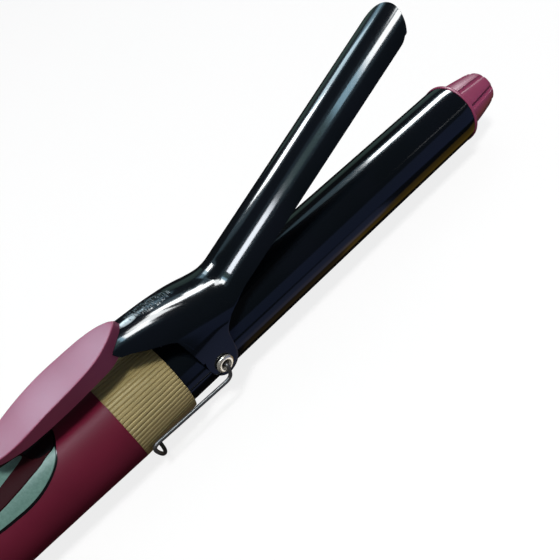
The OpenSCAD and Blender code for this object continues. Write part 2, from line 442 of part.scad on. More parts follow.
place() barrel_tube();
place() tip_cap();
place() heat_spreader_upper();
place() heat_spreader_lower();
place() ptc_heater();
place() thermal_fuse();
place() ntc_sensor();
place() heater_leads();
place() pivot_ring();
place() pivot_eyelets();
place() pivot_washers();
clamp_place() clamp_plate();
place() clamp_spring();
clamp_place() thumb_grip();
clamp_place() grip_screws();
place() wire_stand();
place() heat_collar();
place() barrel_holder();
place() holder_screws();
place() handle_shell();
place() handle_screws();
place() panel_plate();
place() inlay_left();
place() inlay_right();
place() panel_trim();
place() key_panel();
place() display_window();
place() power_key();
place() plus_key();
place() minus_key();
place() key_switches();
place() indicator_leds();
place() circuit_board();
place() triac();
place() mains_capacitor();
place() terminal_block();
place() chassis();
place() end_cap();
place() gland_retainer();
place() swivel_gland();
place() slip_core();
place() slip_rings();
place() contact_blades();
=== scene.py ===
import json
import math

import bmesh
import bpy
import numpy as np
from mathutils import Matrix, Vector

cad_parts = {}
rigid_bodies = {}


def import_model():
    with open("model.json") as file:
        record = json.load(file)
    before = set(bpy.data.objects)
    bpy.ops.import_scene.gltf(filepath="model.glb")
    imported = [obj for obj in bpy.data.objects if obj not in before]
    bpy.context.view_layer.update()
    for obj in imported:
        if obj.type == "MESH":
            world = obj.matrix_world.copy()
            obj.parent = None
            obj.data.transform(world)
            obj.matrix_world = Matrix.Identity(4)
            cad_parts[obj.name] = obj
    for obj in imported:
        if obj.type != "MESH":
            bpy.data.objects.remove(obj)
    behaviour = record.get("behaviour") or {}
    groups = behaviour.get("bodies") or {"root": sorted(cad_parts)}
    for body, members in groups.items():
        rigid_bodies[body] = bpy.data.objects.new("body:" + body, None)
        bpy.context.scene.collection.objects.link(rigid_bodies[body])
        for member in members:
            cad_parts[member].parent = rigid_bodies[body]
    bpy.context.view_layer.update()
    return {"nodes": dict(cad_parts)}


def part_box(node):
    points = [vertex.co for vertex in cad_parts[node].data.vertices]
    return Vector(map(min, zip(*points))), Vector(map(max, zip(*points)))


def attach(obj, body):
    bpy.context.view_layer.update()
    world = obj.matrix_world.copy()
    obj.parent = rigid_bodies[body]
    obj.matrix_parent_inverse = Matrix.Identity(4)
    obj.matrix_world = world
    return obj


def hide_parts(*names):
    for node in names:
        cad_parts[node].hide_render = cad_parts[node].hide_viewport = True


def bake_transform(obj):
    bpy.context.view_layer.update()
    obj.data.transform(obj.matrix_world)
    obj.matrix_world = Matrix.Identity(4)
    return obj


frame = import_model()
NODE = frame["nodes"]
scene = bpy.context.scene

# ---------------------------------------------------------------- frames
# Shapes are written in millimetres from the clamp pivot on the barrel axis,
# the clamp's own pieces as they are with the clamp closed.
PIVOT_X = 196.0
OPEN = math.radians(21.0)
CO, SO = math.cos(OPEN), math.sin(OPEN)
BR, BI = 14.0, 13.0
LEN = 154.0
EAR_OUT = 15.6
TUBE_OUT, TUBE_IN = 15.3, 14.3
HALF = math.radians(53.4)
TONGUE_END = 144.0
TONGUE_Y = TUBE_OUT * math.sin(HALF)
WR = 0.75


def place(p):
    return ((p[0] + PIVOT_X) / 1000, p[1] / 1000, p[2] / 1000)


def place_clamp(p):
    return place((p[0] * CO - p[2] * SO, p[1], p[0] * SO + p[2] * CO))


def clamp01(v):
    return max(0.0, min(1.0, v))


def sstep(a, b, v):
    t = clamp01((v - a) / (b - a))
    return t * t * (3 - 2 * t)


def cr1(a, b, c, d, t):
    return 0.5 * (2 * b + (c - a) * t + (2 * a - 5 * b + 4 * c - d) * t * t + (3 * b - a - 3 * c + d) * t * t * t)


def smooth(p, n):
    """Catmull-Rom through the points, n steps a span."""
    p = [np.array(q, float) for q in p]
    m = len(p) - 1
    out = []
    for i in range(m):
        for k in range(n + (1 if i == m - 1 else 0)):
            out.append(cr1(p[max(i - 1, 0)], p[i], p[i + 1], p[min(i + 2, m)], k / n))
    return out


def curve_fn(table):
    """Smooth function through (x, value) pairs: cubic with slopes from both neighbours."""
    t = sorted(table)
    xs = np.array([q[0] for q in t], float)
    ys = np.array([q[1] for q in t], float)
    m = np.gradient(ys, xs)

    def f(x):
        x = min(max(x, xs[0]), xs[-1])
        i = int(min(np.searchsorted(xs, x, side="right") - 1, len(xs) - 2))
        h = xs[i + 1] - xs[i]
        u = (x - xs[i]) / h
        return float(
            (2 * u**3 - 3 * u**2 + 1) * ys[i] + (u**3 - 2 * u**2 + u) * h * m[i]
            + (-2 * u**3 + 3 * u**2) * ys[i + 1] + (u**3 - u**2) * h * m[i + 1]
        )

    return f


def lin(x, table):
    t = sorted(table)
    return float(np.interp(x, [q[0] for q in t], [q[1] for q in t]))


# ---------------------------------------------------------------- mesh helpers
def mesh_object(name, pts, faces, mapper=place, weld=2e-6, sharp=38):
    me = bpy.data.meshes.new(name)
    me.from_pydata([mapper(p) for p in pts], [], faces)
    bm = bmesh.new()
    bm.from_mesh(me)
    bmesh.ops.remove_doubles(bm, verts=bm.verts, dist=weld)
    bmesh.ops.dissolve_degenerate(bm, dist=weld, edges=bm.edges)
    bmesh.ops.recalc_face_normals(bm, faces=bm.faces)
    bm.to_mesh(me)
    bm.free()
    ob = bpy.data.objects.new(name, me)
    scene.collection.objects.link(ob)
    shade(ob, sharp)
    return ob


def shade(ob, sharp=38):
    me = ob.data
    me.polygons.foreach_set("use_smooth", [True] * len(me.polygons))
    me.set_sharp_from_angle(angle=math.radians(sharp))


def applied(ob, sharp=38):
    bpy.context.view_layer.update()
    dg = bpy.context.evaluated_depsgraph_get()
    me = bpy.data.meshes.new_from_object(ob.evaluated_get(dg), depsgraph=dg)
    ob.modifiers.clear()
    ob.data = me
    shade(ob, sharp)
    return ob


def bevel(ob, width, segments=2, angle=40, sharp=38):
    b = ob.modifiers.new("edge", "BEVEL")
    b.width = width / 1000
    b.segments = segments
    b.limit_method = "ANGLE"
    b.angle_limit = math.radians(angle)
    b.miter_outer = "MITER_ARC"
    return applied(ob, sharp)


def cut(ob, tools, sharp=38):
    for t in tools:
        m = ob.modifiers.new("cut", "BOOLEAN")
        m.operation = "DIFFERENCE"
        m.solver = "EXACT"
        m.object = t
    applied(ob, sharp)
    for t in tools:
        bpy.data.objects.remove(t)
    return ob


def grid_faces(n, m, closed_u=False, closed_v=False, off=0):
    f = []
    for i in range(n if closed_u else n - 1):
        for j in range(m if closed_v else m - 1):
            a, b = off + i * m + j, off + i * m + (j + 1) % m
            c, d = off + ((i + 1) % n) * m + (j + 1) % m, off + ((i + 1) % n) * m + j
            f.append((a, b, c, d))
    return f


def fillet(pts, radii, n=4):
    """A closed outline with its corners rounded."""
    out = []
    m = len(pts)
    for i in range(m):
        p, a, b = (np.array(pts[k % m], float) for k in (i, i - 1, i + 1))
        r = radii[i] if isinstance(radii, (list, tuple)) else radii
        ua, ub = (a - p) / (np.linalg.norm(a - p) + 1e-9), (b - p) / (np.linalg.norm(b - p) + 1e-9)
        ang = math.acos(max(-1, min(1, float(ua @ ub))))
        if r <= 0 or ang > 3.1:
            out.append(p)
            continue
        t = min(r / math.tan(ang / 2), 0.45 * np.linalg.norm(a - p), 0.45 * np.linalg.norm(b - p))
        s, e = p + ua * t, p + ub * t
        for k in range(n + 1):
            u = k / n
            out.append((1 - u) ** 2 * s + 2 * u * (1 - u) * p + u * u * e)
    return out


def lathe(name, outline, n=160, axis="x", closed=True, mapper=place, sharp=38, centre=(0, 0)):
    """Turns an outline of (along, radius) about the x or y axis."""
    pts, m = [], len(outline)
    for k in range(n):
        a = 2 * math.pi * k / n
        c, s = math.cos(a), math.sin(a)
        for q in outline:
            r = max(q[1], 0.0)
            if axis == "x":
                pts.append((q[0], centre[0] + r * c, centre[1] + r * s))
            elif axis == "y":
                pts.append((centre[0] + r * c, q[0], centre[1] + r * s))
            else:
                pts.append((centre[0] + r * c, centre[1] + r * s, q[0]))
    return mesh_object(name, pts, grid_faces(n, m, True, closed), mapper, sharp=sharp)


def rod(name, x, y, z0, z1, r, axis="z", n=48, mapper=place):
    return lathe(name, [(z0, 0), (z0, r), (z1, r), (z1, 0)], n, axis, True, mapper, centre=(x, y))


def finish_piece(ob, body, slot, material, *nodes):
    ob.data.materials.clear()
    ob.data.materials.append(material)
    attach(ob, body)
    if nodes:
        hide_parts(*nodes)
    return ob


# ---------------------------------------------------------------- materials
def srgb(r, g, b):
    return tuple(((c / 255 + 0.055) / 1.055) ** 2.4 if c > 10 else c / 255 / 12.92 for c in (r, g, b)) + (1.0,)


class Mat:
    def __init__(self, name):
        self.m = bpy.data.materials.new(name)
        self.m.use_nodes = True
        self.t = self.m.node_tree
        self.b = self.t.nodes["Principled BSDF"]
        self.c = self.t.nodes.new("ShaderNodeTexCoord")

    def set(self, **kw):
        for k, v in kw.items():
            self.b.inputs[k.replace("_", " ")].default_value = v
        return self

    def noise(self, scale, detail=2.0, rough=0.5, stretch=(1, 1, 1)):
        mp = self.t.nodes.new("ShaderNodeMapping")
        mp.inputs["Scale"].default_value = stretch
        n = self.t.nodes.new("ShaderNodeTexNoise")
        n.inputs["Scale"].default_value = scale
        n.inputs["Detail"].default_value = detail
        n.inputs["Roughness"].default_value = rough
        self.t.links.new(self.c.outputs["Object"], mp.inputs["Vector"])
        self.t.links.new(mp.outputs["Vector"], n.inputs["Vector"])
        return n.outputs["Fac"]

    def ramp(self, fac, stops):
        r = self.t.nodes.new("ShaderNodeValToRGB")
        e = r.color_ramp.elements
        while len(e) < len(stops):
            e.new(0.5)
        for el, (pos, col) in zip(e, stops):
            el.position = pos
            el.color = col
        self.t.links.new(fac, r.inputs["Fac"])
        return r.outputs["Color"]

    def remap(self, fac, a, b, lo=0.3, hi=0.7):
        r = self.t.nodes.new("ShaderNodeMapRange")
        for k, v in zip(("From Min", "From Max", "To Min", "To Max"), (lo, hi, a, b)):
            r.inputs[k].default_value = v
        self.t.links.new(fac, r.inputs["Value"])
        return r.outputs["Result"]

    def colour(self, out):
        self.t.links.new(out, self.b.inputs["Base Color"])
        return self

    def rough(self, out):
        self.t.links.new(out, self.b.inputs["Roughness"])
        return self

    def bump(self, height, strength=0.2, dist=0.0002):
        bp = self.t.nodes.new("ShaderNodeBump")
        bp.inputs["Strength"].default_value = strength
        bp.inputs["Distance"].default_value = dist
        self.t.links.new(height, bp.inputs["Height"])
        prev = self.b.inputs["Normal"].links
        if prev:
            self.t.links.new(prev[0].from_socket, bp.inputs["Normal"])
        self.t.links.new(bp.outputs["Normal"], self.b.inputs["Normal"])
        return self

    def mul(self, a, b):
        m = self.t.nodes.new("ShaderNodeMath")
        m.operation = "MULTIPLY"
        for k, v in enumerate((a, b)):
            if isinstance(v, (int, float)):
                m.inputs[k].default_value = v
            else:
                self.t.links.new(v, m.inputs[k])
        return m.outputs["Value"]

    def blend(self, fac, a, b):
        """Colour a where fac is 0, the plain colour b where it is 1."""
        x = self.t.nodes.new("ShaderNodeMix")
        x.data_type = "RGBA"
        self.t.links.new(fac, x.inputs["Factor"])
        self.t.links.new(a, [i for i in x.inputs if i.name == "A" and i.type == "RGBA"][0])
        [i for i in x.inputs if i.name == "B" and i.type == "RGBA"][0].default_value = b
        return [o for o in x.outputs if o.type == "RGBA"][0]

    def window(self, centre, size):
        """1 inside an ellipsoid about centre (row frame, metres), falling smoothly to 0."""
        mp = self.t.nodes.new("ShaderNodeMapping")
        mp.vector_type = "POINT"
        mp.inputs["Location"].default_value = tuple(-c / s for c, s in zip(centre, size))
        mp.inputs["Scale"].default_value = tuple(1 / s for s in size)
        ln = self.t.nodes.new("ShaderNodeVectorMath")
        ln.operation = "LENGTH"
        self.t.links.new(self.c.outputs["Object"], mp.inputs["Vector"])
        self.t.links.new(mp.outputs["Vector"], ln.inputs[0])
        r = self.t.nodes.new("ShaderNodeMapRange")
        r.interpolation_type = "SMOOTHSTEP"
        for k, v in zip(("From Min", "From Max", "To Min", "To Max"), (0.6, 1.0, 1.0, 0.0)):
            r.inputs[k].default_value = v
        self.t.links.new(ln.outputs["Value"], r.inputs["Value"])
        return r.outputs["Result"]


def plastic(name, col, rough=0.4, vary=0.08, grain=900, bump=0.06, spec=0.5, **kw):
    m = Mat(name).set(Roughness=rough, **kw)
    m.b.inputs["Specular IOR Level"].default_value = spec
    lo = tuple(c * (1 - vary) for c in col[:3]) + (1,)
    hi = tuple(min(1, c * (1 + vary)) for c in col[:3]) + (1,)
    m.colour(m.ramp(m.noise(60, 3), [(0.35, lo), (0.65, hi)]))
    g = m.noise(grain, 2)
    m.rough(m.remap(g, rough - 0.03, rough + 0.04))
    m.bump(g, bump, 0.00005)
    return m


def metal(name, col, rough=0.25, stretch=(1, 1, 1), grain=1500, bump=0.05, vary=0.1):
    m = Mat(name).set(Metallic=1.0, Roughness=rough)
    lo = tuple(c * (1 - vary) for c in col[:3]) + (1,)
    hi = tuple(min(1, c * (1 + vary)) for c in col[:3]) + (1,)
    m.colour(m.ramp(m.noise(200, 3), [(0.35, lo), (0.65, hi)]))
    g = m.noise(grain, 3, stretch=stretch)
    m.rough(m.remap(g, rough - 0.05, rough + 0.08))
    m.bump(g, bump, 0.00004)
    return m


M = {}


def make_materials():
    # glossy black enamel: near-black base, faint ripple in the surface, a few fine specks
    m = Mat("black_enamel").set(Roughness=0.1)
    m.b.inputs["Specular IOR Level"].default_value = 0.5
    m.colour(m.ramp(m.noise(35, 2), [(0.3, (0.0025, 0.0042, 0.006, 1)), (0.7, (0.0035, 0.0050, 0.0085, 1))]))
    m.rough(m.remap(m.noise(420, 3), 0.10, 0.115))
    m.bump(m.noise(90, 1), 0.03, 0.0002)
    speck = m.remap(m.noise(1500, 1), 0.0, 1.0, 0.74, 0.78)
    m.bump(speck, 0.06, 0.00004)
    M["black_enamel"] = m
    # the clamp's enamel also carries scratches where the lever is worn near the grip; their pale strokes are painted
    # glints, and a pale spot beside the grip is a painted highlight
    m = Mat("black_enamel_clamp").set(Roughness=0.1)
    m.b.inputs["Specular IOR Level"].default_value = 0.5
    m.rough(m.remap(m.noise(420, 3), 0.10, 0.115))
    m.bump(m.noise(90, 1), 0.03, 0.0002)
    # the lever's scuffed patch: short crossing scratches in the bump, coloured pale along them as painted glints, and a
    # painted highlight spot beside the grip
    w = m.window((0.1885, 0.0018, 0.0288), (0.0112, 0.0042, 0.0062))
    sc = m.noise(1000, 3, 0.7, (1.2, 0.25, 1.0))
    line = m.mul(m.remap(sc, 0.0, 1.0, 0.50, 0.525), m.remap(sc, 1.0, 0.0, 0.545, 0.575))
    painted_highlight_spot = m.window((0.1790, -0.0003, 0.0306), (0.0046, 0.0017, 0.0030))
    base = m.ramp(m.noise(35, 2), [(0.3, (0.0025, 0.0042, 0.006, 1)), (0.7, (0.0035, 0.0050, 0.0085, 1))])
    # pale strokes along the scratches: painted glints in the base colour
    base = m.blend(m.mul(m.mul(line, w), 0.75), base, (0.16, 0.24, 0.29, 1))
    # pale spot beside the grip: a painted highlight in the base colour
    m.colour(m.blend(m.mul(painted_highlight_spot, m.remap(sc, 1.0, 0.25, 0.56, 0.60)), base, (0.46, 0.55, 0.60, 1)))
    sc2 = m.remap(sc, 0.0, 1.0, 0.46, 0.56)
    m.bump(m.mul(sc2, w), 0.8, 0.0002)
    M["black_enamel_clamp"] = m
    M["mauve_plastic"] = plastic("mauve_plastic", srgb(150, 62, 96), 0.40, 0.05, 1400, 0.10, 0.55)
    M["burgundy_plastic"] = plastic("burgundy_plastic", srgb(101, 24, 46), 0.48, 0.06, 1400, 0.10, 0.28)
    # the moulding between the two inlays is darker and duller than the handle; its dark colour is painted shade for the
    # grip's shadow over it
    M["burgundy_trim_painted_shade"] = plastic("burgundy_trim_painted_shade", srgb(48, 17, 22), 0.55, 0.06, 1400, 0.06, 0.05)
    M["gold_plastic"] = plastic("gold_plastic", srgb(158, 143, 98), 0.5, 0.05, 1600, 0.12, 0.4, Metallic=0.12)
    M["black_plastic"] = plastic("black_plastic", srgb(14, 14, 16), 0.14, 0.1, 700, 0.03)
    m = plastic("teal_plastic", srgb(96, 130, 122), 0.32, 0.06, 900, 0.04, 0.4)
    fl = m.noise(1100, 2, 0.7)
    m.colour(m.ramp(fl, [(0.32, srgb(90, 123, 115)), (0.5, srgb(97, 131, 123)), (0.70, srgb(105, 140, 131))]))
    M["teal_plastic"] = m
    M["nickel_steel"] = metal("nickel_steel", (0.82, 0.79, 0.70), 0.2)
    M["nickel_steel"].set(Metallic=0.75)
    M["steel_wire"] = metal("steel_wire", (0.15, 0.15, 0.15), 0.34, (1, 1, 1), 2200, 0.03)
    M["steel_wire"].set(Metallic=0.7)
    M["spring_steel"] = metal("spring_steel", (0.42, 0.43, 0.46), 0.3, (6, 1, 1))
    M["steel_plain"] = metal("steel_plain", (0.55, 0.55, 0.56), 0.28)
    M["spreader_aluminium"] = metal("spreader_aluminium", (0.78, 0.79, 0.8), 0.35, (0.2, 4, 4))
    M["ceramic"] = plastic("ceramic", srgb(228, 224, 212), 0.55, 0.04)
    M["heater_wrap"] = plastic("heater_wrap", srgb(190, 134, 60), 0.35, 0.08, 400, 0.2)
    M["sensor_glass"] = plastic("sensor_glass", srgb(60, 110, 86), 0.12, 0.1)
    M["dark_plastic"] = plastic("dark_plastic", srgb(46, 46, 50), 0.45, 0.08)
    M["board_green"] = plastic("board_green", srgb(26, 82, 42), 0.35, 0.12, 500, 0.1)
    M["copper_brass"] = metal("copper_brass", (0.8, 0.58, 0.28), 0.25)
    M["blue_plastic"] = plastic("blue_plastic", srgb(52, 92, 150), 0.4)
    M["yellow_plastic"] = plastic("yellow_plastic", srgb(184, 150, 44), 0.38)
    m = plastic("led_lens", srgb(236, 232, 200), 0.15)
    M["led_lens"] = m
    M["key_silver"] = plastic("key_silver", srgb(196, 198, 200), 0.3, 0.04, 1500, 0.08, Metallic=0.7)
    M["tinned_lead"] = metal("tinned_lead", (0.7, 0.7, 0.68), 0.3)


make_materials()
for name, ob in NODE.items():
    for s in ob.material_slots:
        key = s.material.name.split(".")[0] if s.material else ""
        if name == "panel_trim":
            # painted shade: the trim's darker colour stands for the grip's shadow
            s.material = M["burgundy_trim_painted_shade"].m
        elif key in M:
            s.material = M[key].m
        else:
            print("no material for", name, key)


# ---------------------------------------------------------------- barrel
def make_barrel():
    o = fillet([(-34, BI), (-34, BR), (LEN, BR), (LEN, BI)], [0.1, 0.25, 0.3, 0.2], 4)
    # stations along the tube keep its faces short
    out = []
    for i, q in enumerate(o):
        out.append(q)
        nxt = o[(i + 1) % len(o)]
        if abs(nxt[0] - q[0]) > 50:
            for k in range(1, 40):
                out.append(q + (nxt - q) * k / 40)
    ob = lathe("barrel", out, 256)
    tools = [rod("t%d" % i, 0, 0, y0, y1, 2.22, "y") for i, (y0, y1) in enumerate(((-20, -9), (9, 20)))]
    tools += [rod("u%d" % i, -27, 0, z0, z1, 1.3, "z") for i, (z0, z1) in enumerate(((-20, -9), (9, 20)))]
    cut(ob, tools)
    return finish_piece(ob, "iron", "black_enamel", M["black_enamel"].m, "barrel_tube")


# ---------------------------------------------------------------- cool tip
def make_tip():
    r0, r1, n = BR - 2.3, BR - 5.7, 22.0
    slope = (r0 - r1) / n
    # outside line from the rim's back to the middle of the end face
    line = [(LEN + 0.02, BR - 0.3), (LEN + 0.06, BR + 0.12), (LEN + 0.2, BR + 0.24), (LEN + 0.8, BR + 0.25), (LEN + 1.35, BR + 0.22),
            (LEN + 1.7, BR + 0.02), (LEN + 1.95, BR - 0.35), (LEN + 2.08, BR - 0.9), (LEN + 2.16, r0 + 0.9), (LEN + 2.4, r0 + 0.42),
            (LEN + 2.8, r0 + 0.12), (LEN + 3.4, r0 - 0.12)]
    x = LEN + 3.8
    while x < LEN + n - 1.6:
        t = (x - LEN - 2.1) / (n - 2.1)
        line.append((x, r0 + (r1 + 0.35 - r0) * t + 0.22 * math.sin(math.pi * t)))
        x += 0.55
    end = [(LEN + n - 1.2, r1 + 0.46), (LEN + n - 0.5, r1 + 0.36), (LEN + n + 0.1, r1 + 0.2), (LEN + n + 0.6, r1 - 0.04), (LEN + n + 1.0, r1 - 0.38),
           (LEN + n + 1.27, r1 - 0.8), (LEN + n + 1.44, r1 - 1.3), (LEN + n + 1.54, r1 - 2.0), (LEN + n + 1.6, r1 - 3.2), (LEN + n + 1.6, r1 - 5), (LEN + n + 1.6, 0.0)]
    line += end
    rows = []
    for q in line:
        x, rb = q
        rc = r0 + 0.42 - slope * (x - LEN - 1.7)
        rc += 1.6 * (1 - sstep(LEN + 2.0, LEN + 4.6, x))
        ring = []
        cosd = (rb * rb + rc * rc - 1.35**2) / (2 * rb * rc) if rb > 2 and x > LEN + 2.2 else 2
        dg = math.acos(cosd) if -1 < cosd < 1 else 0.0004
        for g in range(8):
            a0 = math.radians(g * 45 + 22.5)
            for k in range(12):
                u = -1 + 2 * k / 12
                d = dg * math.sin(u * math.pi / 2)
                s2 = 1.35**2 - (rc * math.sin(d)) ** 2
                r = rb if dg < 0.001 or s2 <= 0 else min(rb, rc * math.cos(d) - math.sqrt(s2))
                ring.append((a0 + d, r))
            for k in range(20):
                d = dg + (math.pi / 4 - 2 * dg) * k / 20
                e = 0.07 * math.exp(-((min(d - dg, math.pi / 4 - dg - d) * rb / 0.35) ** 2)) if dg > 0.001 else 0
                ring.append((a0 + d, rb - e))
        rows.append([(x, r * math.cos(a), r * math.sin(a)) for a, r in ring])
    m = len(rows[0])
    pts = [p for r in rows for p in r]
    faces = grid_faces(len(rows), m, False, True)
    # back: rim, then the plug that goes into the tube
    back = [(LEN + 0.02, BR - 0.3), (LEN + 0.02, BI - 0.05), (LEN - 9.8, BI - 0.05), (LEN - 10, BI - 0.25), (LEN - 10, BR - 3.2), (LEN + 0.02, BR - 3.2), (LEN + 0.02, 0.0)]
    off = len(pts)
    for q in back:
        for c in rows[0]:
            a = math.atan2(c[2], c[1])
            pts.append((q[0], q[1] * math.cos(a), q[1] * math.sin(a)))
    faces += grid_faces(len(back), m, False, True, off)
    ob = mesh_object("cool_tip", pts, faces, weld=4e-6, sharp=42)
    return finish_piece(ob, "iron", "mauve_plastic", M["mauve_plastic"].m, "tip_cap")


# ---------------------------------------------------------------- clamp sheet
TOP = [(-46, 46.5), (-42, 45.6), (-34, 43.8), (-26, 41.8), (-20, 40.3), (-15, 38.9), (-12, 37.95), (-10, 37.2), (-8, 36.3), (-6.4, 35.5),
       (-3.4, 33.95), (0, 32.1), (2.7, 30.5), (6, 28.35), (8.9, 26.3), (12, 24.05), (15.3, 21.5), (18, 19.4), (20.2, 17.85), (22, 16.8), (23.8, 16.05),
       (25.6, 15.6), (27.6, 15.3), (31, 15.3), (40, 15.3)]
zt = curve_fn(TOP)
ROWS = [(-42, -42, 42.6), (-34, -34, 40.7), (-26, -26, 38.9), (-20, -19.6, 38.1), (-17.2, -16, 37.75), (-16.2, -15.0, 34.95), (-14, -12.45, 33.05),
        (-12, -10.2, 30.9), (-10, -7.8, 28.5), (-8.2, -5.4, 26.3), (-6.6, -3.1, 24), (-5.2, -1.2, 21.2), (-4, -0.75, 18.4), (-3, -0.95, 15.2),
        (-2, -1.5, 12.2), (-1, -2.6, 9.2), (0, -4.15, 6.2), (0.8, -5, 3.3), (1.6, -5.25, 0.5), (2.4, -4.7, -2.2), (3.2, -3.3, -4.6),
        (4, -1.2, -5.8), (4.8, 1.5, -5.9), (5.6, 3.9, -5), (6.2, 5.7, -3.2), (6.9, 7, -0.8), (7.8, 8.1, 1.8), (9, 9.1, 4.3), (10.4, 10.2, 6.6),
        (12, 11.8, 8.3), (14, 13.8, 9.3), (16, 16, 9.8), (18.5, 18.5, 9.7), (21, 21, 9.4), (24, 24, 9.2), (28, 28, 9.122)]


def zb(x):
    return 9 * (1 - sstep(8, 27, x))


def wd(x):
    return EAR_OUT + (TUBE_OUT - EAR_OUT) * sstep(9, 26, x)


def slope_th(x):
    return 1 + 0.24 * sstep(28, 18, x) * (1 - sstep(-4, -14, x))


def clamp_pt(r, v, th, dw):
    s = abs(v)
    t = 1 - math.cos(math.pi / 2 * s)
    top = zt(r[0]) - th
    x = r[0] + (r[1] - r[0]) * t
    z = top + (r[2] - top) * t
    b = zb(x)
    tp = zt(x) - th
    u = clamp01((z - b) / (tp - b))
    y = (wd(x) - dw) * math.sqrt(max(0.0, 1 - u * u))
    return (x, math.copysign(y, v) if v else 0.0, z)


def make_clamp():
    rows = [tuple(q) for q in smooth(ROWS, 4)]
    x = 29.2
    end0 = TONGUE_END - 13.2
    while x < end0 - 0.5:
        rows.append((x, x, TUBE_OUT * math.cos(HALF)))
        x += 1.8
    for k in range(0, 37):
        a = math.radians(90 * k / 36)
        y = TONGUE_Y * math.cos(a)
        rows.append((end0 + 13.2 * math.sin(a),) * 2 + (math.sqrt(max(TUBE_OUT**2 - y * y, 0)),))
    cols = 72
    pts, faces = [], []
    n = len(rows)
    for r in rows:
        tip = r[0] > end0
        yo = math.sqrt(max(TUBE_OUT**2 - r[2] ** 2, 0)) if tip else None
        zi = math.sqrt(max(TUBE_IN**2 - min(yo, TUBE_IN * math.sin(math.radians(50.4))) ** 2, 0)) if tip else None
        ri = (r[0], r[1], zi) if tip else r
        outer = [clamp_pt(r, 2 * j / cols - 1, 0, 0) for j in range(cols + 1)]
        inner = [clamp_pt(ri, 1 - 2 * j / cols, slope_th(r[0]), 1.0) for j in range(cols + 1)]
        pts += outer + inner
    m = 2 * (cols + 1)
    faces = grid_faces(n, m, False, True)
    faces.append(tuple(range(m)))
    ob = mesh_object("clamp_sheet", pts, faces, place_clamp, weld=8e-6, sharp=50)
    bevel(ob, 0.22, 2, 55, 50)
    c = rod("t", 0, 0, -20, -10, 2.25, "y")
    d = rod("u", 0, 0, 10, 20, 2.25, "y")
    cut(ob, [c, d], 50)
    return finish_piece(ob, "clamp", "black_enamel", M["black_enamel_clamp"].m, "clamp_plate")


# ---------------------------------------------------------------- thumb grip
PAD_HALF = [(-6.6, 0), (-8.1, 1.8), (-11.1, 3.95), (-14.1, 5.4), (-18.2, 6.8), (-22.1, 7.5), (-25.9, 7.9), (-30.8, 8.2), (-35.6, 8.25),
            (-40.5, 8.1), (-45.6, 7.9), (-51.7, 7.3), (-57, 6.1), (-61.2, 4.2), (-63.6, 0)]
PAD_TOP = [(-6, 39.2), (-8.1, 39.9), (-11.1, 40.6), (-14.1, 41.2), (-18.2, 42), (-22.1, 42.9), (-25.9, 43.9), (-30.8, 45.3), (-35.6, 46.6),
           (-40.5, 47.7), (-45.6, 48.6), (-51.7, 49.5), (-57, 50.4), (-61.2, 51.2), (-64, 51.8)]
SKIRT = [(-5, 36.4), (-8, 36.4), (-13.8, 36.6), (-14.4, 36.4), (-14.75, 33.7), (-17.2, 34.05), (-19, 34.5), (-21, 35.1), (-23.9, 36.2), (-29.8, 38.2), (-41.1, 41.6), (-51.8, 45.1),
         (-58.6, 47.8), (-64, 50.6)]
CEIL = [(-66, 49.7), (-61, 49), (-57, 48.3), (-52, 47.5), (-46, 46.5), (-42, 45.85), (-34, 44.0), (-26, 42.0), (-20, 40.5), (-15, 39.1), (-12, 38.2), (-10, 37.5), (-6, 36)]
LEVER_EDGE = [(-42, 42.6), (-34, 40.7), (-26, 38.9), (-19.6, 38.1), (-16, 38.6), (-15.15, 37.1), (-15.0, 34.95), (-12.45, 33.05), (-10.2, 30.9)]
pad_top = curve_fn(PAD_TOP)


def lever_z(x, y):
    if x < -42.05 or abs(y) > EAR_OUT:
        return -99.0
    z = 9 + (zt(x) - 9) * math.sqrt(1 - (y / EAR_OUT) ** 2)
    return z if z > lin(x, LEVER_EDGE) - 0.1 else -99.0


def resample(loop, n):
    p = np.array(list(loop) + [loop[0]], float)
    d = np.r_[0, np.cumsum(np.linalg.norm(np.diff(p, axis=0), axis=1))]
    t = np.linspace(0, d[-1], n + 1)[:-1]
    return np.c_[np.interp(t, d, p[:, 0]), np.interp(t, d, p[:, 1])]


def inward(loop, d):
    q = np.array(loop)
    t = np.roll(q, -1, 0) - np.roll(q, 1, 0)
    t /= np.linalg.norm(t, axis=1)[:, None] + 1e-12
    nrm = np.c_[-t[:, 1], t[:, 0]]
    area = 0.5 * np.sum(q[:, 0] * np.roll(q[:, 1], -1) - np.roll(q[:, 0], -1) * q[:, 1])
    if area < 0:
        nrm = -nrm
    out = q + nrm * d
    out[:, 1] = np.where(np.abs(q[:, 1]) < d, out[:, 1] * np.clip(np.abs(q[:, 1]) / max(d, 1e-6), 0, 1), out[:, 1])
    return np.where(np.sign(out[:, 1:2]) * np.sign(q[:, 1:2]) < 0, np.c_[out[:, 0], 0 * out[:, 1]], out)


